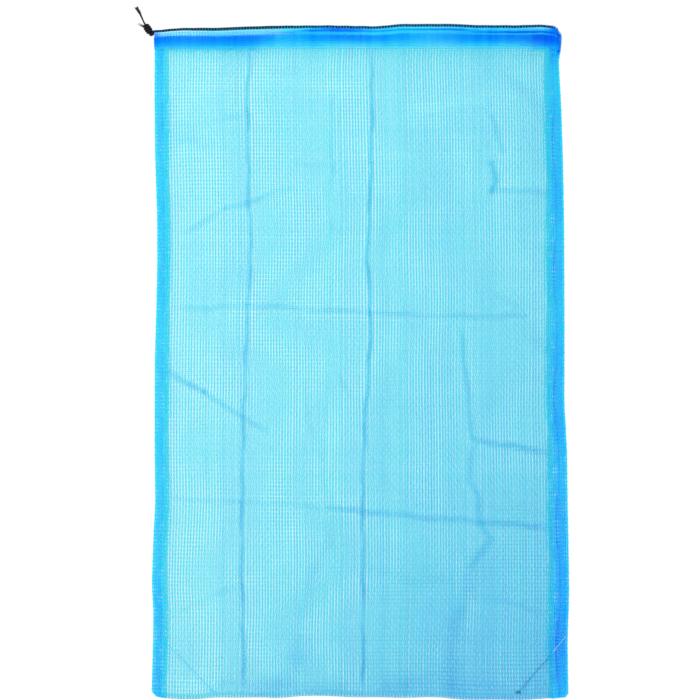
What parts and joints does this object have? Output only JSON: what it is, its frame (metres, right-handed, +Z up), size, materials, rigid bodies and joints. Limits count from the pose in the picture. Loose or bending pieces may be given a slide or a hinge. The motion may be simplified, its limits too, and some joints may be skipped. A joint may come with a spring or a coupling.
{
  "type": "mesh laundry bag",
  "caption": "Flat rectangular drawstring bag of open mesh, with a hemmed mouth, a cord knotted at one corner and sewn sides, for holding laundry in the wash.",
  "frame": {"origin": "on the floor under the middle of the bag, the cord's free ends left out", "axes": "+Y from the folded bottom to the mouth, +X to the right side seam seen from the front, +Z up from the floor through the front sheet"},
  "size_m": [0.5268, 0.8404, 0.0149],
  "materials": {
    "mesh_yarn": "open woven plastic yarn, slightly glossy",
    "doubled_mesh": "several layers of the same mesh, sewn together",
    "pale_thread": "pale sewing thread",
    "black_cord": "black braided cord"
  },
  "bodies": {
    "bag": {"front_panel": "mesh_yarn", "back_panel": "mesh_yarn", "bottom_fold": "mesh_yarn", "left_side_seam": "doubled_mesh", "right_side_seam": "doubled_mesh", "right_weft_ends": "mesh_yarn", "front_hem": "doubled_mesh", "back_hem": "doubled_mesh", "right_hem_turn": "doubled_mesh", "front_hem_stitching": "pale_thread", "back_hem_stitching": "pale_thread", "left_seam_stitching": "pale_thread", "right_seam_stitching": "pale_thread", "left_corner_stitching": "pale_thread", "right_corner_stitching": "pale_thread"},
    "pull_cord": {"drawstring": "black_cord", "drawstring_knot": "black_cord", "long_tail": "black_cord", "short_tail": "black_cord"}
  },
  "joints": [
    {"name": "drawstring_pull", "type": "slide", "parent": "bag", "child": "pull_cord", "axis": [-1, 0, 0], "range_m": [0, 0.36], "deforming": ["front_hem", "back_hem", "right_hem_turn", "front_hem_stitching", "back_hem_stitching"]}
  ]
}
